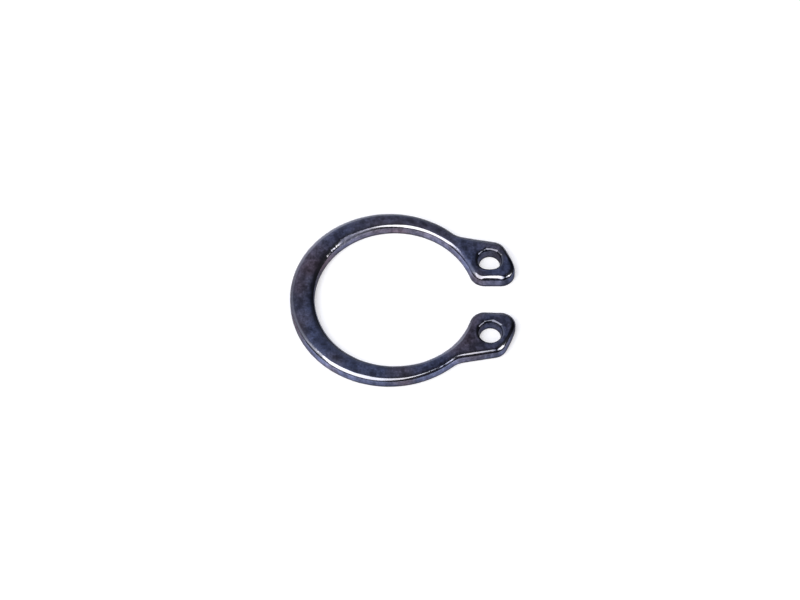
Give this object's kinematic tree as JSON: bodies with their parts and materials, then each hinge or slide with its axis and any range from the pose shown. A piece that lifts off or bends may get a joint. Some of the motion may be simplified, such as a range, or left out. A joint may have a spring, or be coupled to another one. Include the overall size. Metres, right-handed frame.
{
  "type": "circlip retaining ring",
  "caption": "Open tapering ring of flat spring steel with two drilled lugs, which snaps into a groove on a shaft to hold parts in place.",
  "frame": {"origin": "axis of the inner circle, at the underside of the ring", "axes": "+Z along the shaft axis, out of the face with the rounded edges; +X from the shaft axis through the middle of the opening; +Y to the lug with the first plier hole"},
  "size_m": [0.0193, 0.017, 0.001],
  "materials": {
    "spring_steel": "tumbled spring steel with a thin black phosphate and oil finish, dark blue-black with a satin sheen"
  },
  "bodies": {
    "root": {"circlip": "spring_steel"}
  },
  "joints": []
}
